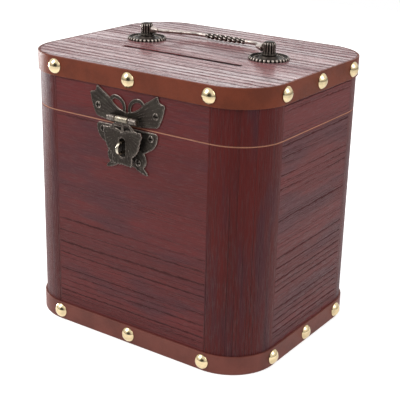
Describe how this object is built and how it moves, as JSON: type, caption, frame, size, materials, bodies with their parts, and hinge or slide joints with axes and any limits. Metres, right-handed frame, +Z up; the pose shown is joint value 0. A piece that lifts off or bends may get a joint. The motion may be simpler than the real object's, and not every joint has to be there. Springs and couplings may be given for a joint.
{
  "type": "money box",
  "caption": "Upright wooden money box with a hinged lid, a coin slot in the top, round corners, studded bands, a butterfly hasp with a staple for a padlock and a folding bail handle.",
  "frame": {"origin": "middle of the underside of the bottom board, on the surface the box stands on", "axes": "+Z up, -Y towards the front with the hasp, +X to the right as seen from the front"},
  "size_m": [0.1804, 0.1554, 0.1858],
  "materials": {
    "panel_wood": "burgundy stain over combed grain along the panel",
    "corner_wood": "red-brown stain over upright grain",
    "top_wood": "burgundy stain over combed grain, lacquered",
    "base_wood": "bare board",
    "band_leather": "brown leather-look strip, satin",
    "stud_brass": "polished brass plate",
    "antique_bronze": "antique bronze, rubbed bright on the edges",
    "worn_brass": "worn brass",
    "screw_bronze": "antique bronze, worn rims"
  },
  "bodies": {
    "box": {"bottom_board": "base_wood", "front_panel": "panel_wood", "back_panel": "panel_wood", "left_panel": "panel_wood", "right_panel": "panel_wood", "front_left_post": "corner_wood", "front_right_post": "corner_wood", "back_left_post": "corner_wood", "back_right_post": "corner_wood", "bottom_band": "band_leather", "bottom_band_studs": "stud_brass", "hasp_lower_plate": "antique_bronze", "hasp_staple": "worn_brass", "hasp_lower_screws": "screw_bronze", "left_hinge_lower_leaf": "antique_bronze", "right_hinge_lower_leaf": "antique_bronze", "left_hinge_pin": "worn_brass", "right_hinge_pin": "worn_brass", "hinge_lower_screws": "screw_bronze"},
    "lid": {"top_board": "top_wood", "lid_front_rail": "panel_wood", "lid_back_rail": "panel_wood", "lid_left_rail": "panel_wood", "lid_right_rail": "panel_wood", "lid_front_left_corner": "corner_wood", "lid_front_right_corner": "corner_wood", "lid_back_left_corner": "corner_wood", "lid_back_right_corner": "corner_wood", "top_band": "band_leather", "top_band_studs": "stud_brass", "hasp_upper_plate": "antique_bronze", "hasp_pin": "worn_brass", "hasp_upper_screws": "screw_bronze", "left_hinge_upper_leaf": "antique_bronze", "right_hinge_upper_leaf": "antique_bronze", "hinge_upper_screws": "screw_bronze", "left_rosette": "antique_bronze", "right_rosette": "antique_bronze", "left_handle_post": "antique_bronze", "right_handle_post": "antique_bronze", "handle_screws": "screw_bronze"},
    "hasp_flap": {"hasp_flap": "antique_bronze"},
    "handle": {"handle_bail": "antique_bronze"}
  },
  "joints": [
    {"name": "lid_hinge", "type": "hinge", "parent": "box", "child": "lid", "pos_m": [0, 0.0725, 0.1415], "axis": [-1, 0, 0], "range_deg": [0, 175]},
    {"name": "hasp_flap_hinge", "type": "hinge", "parent": "lid", "child": "hasp_flap", "pos_m": [-0.001, -0.0749, 0.1464], "axis": [-1, 0, 0], "range_deg": [0, 170]},
    {"name": "handle_swing", "type": "hinge", "parent": "lid", "child": "handle", "pos_m": [0, 0.007, 0.1815], "axis": [1, 0, 0], "range_deg": [0, 197.8]}
  ]
}
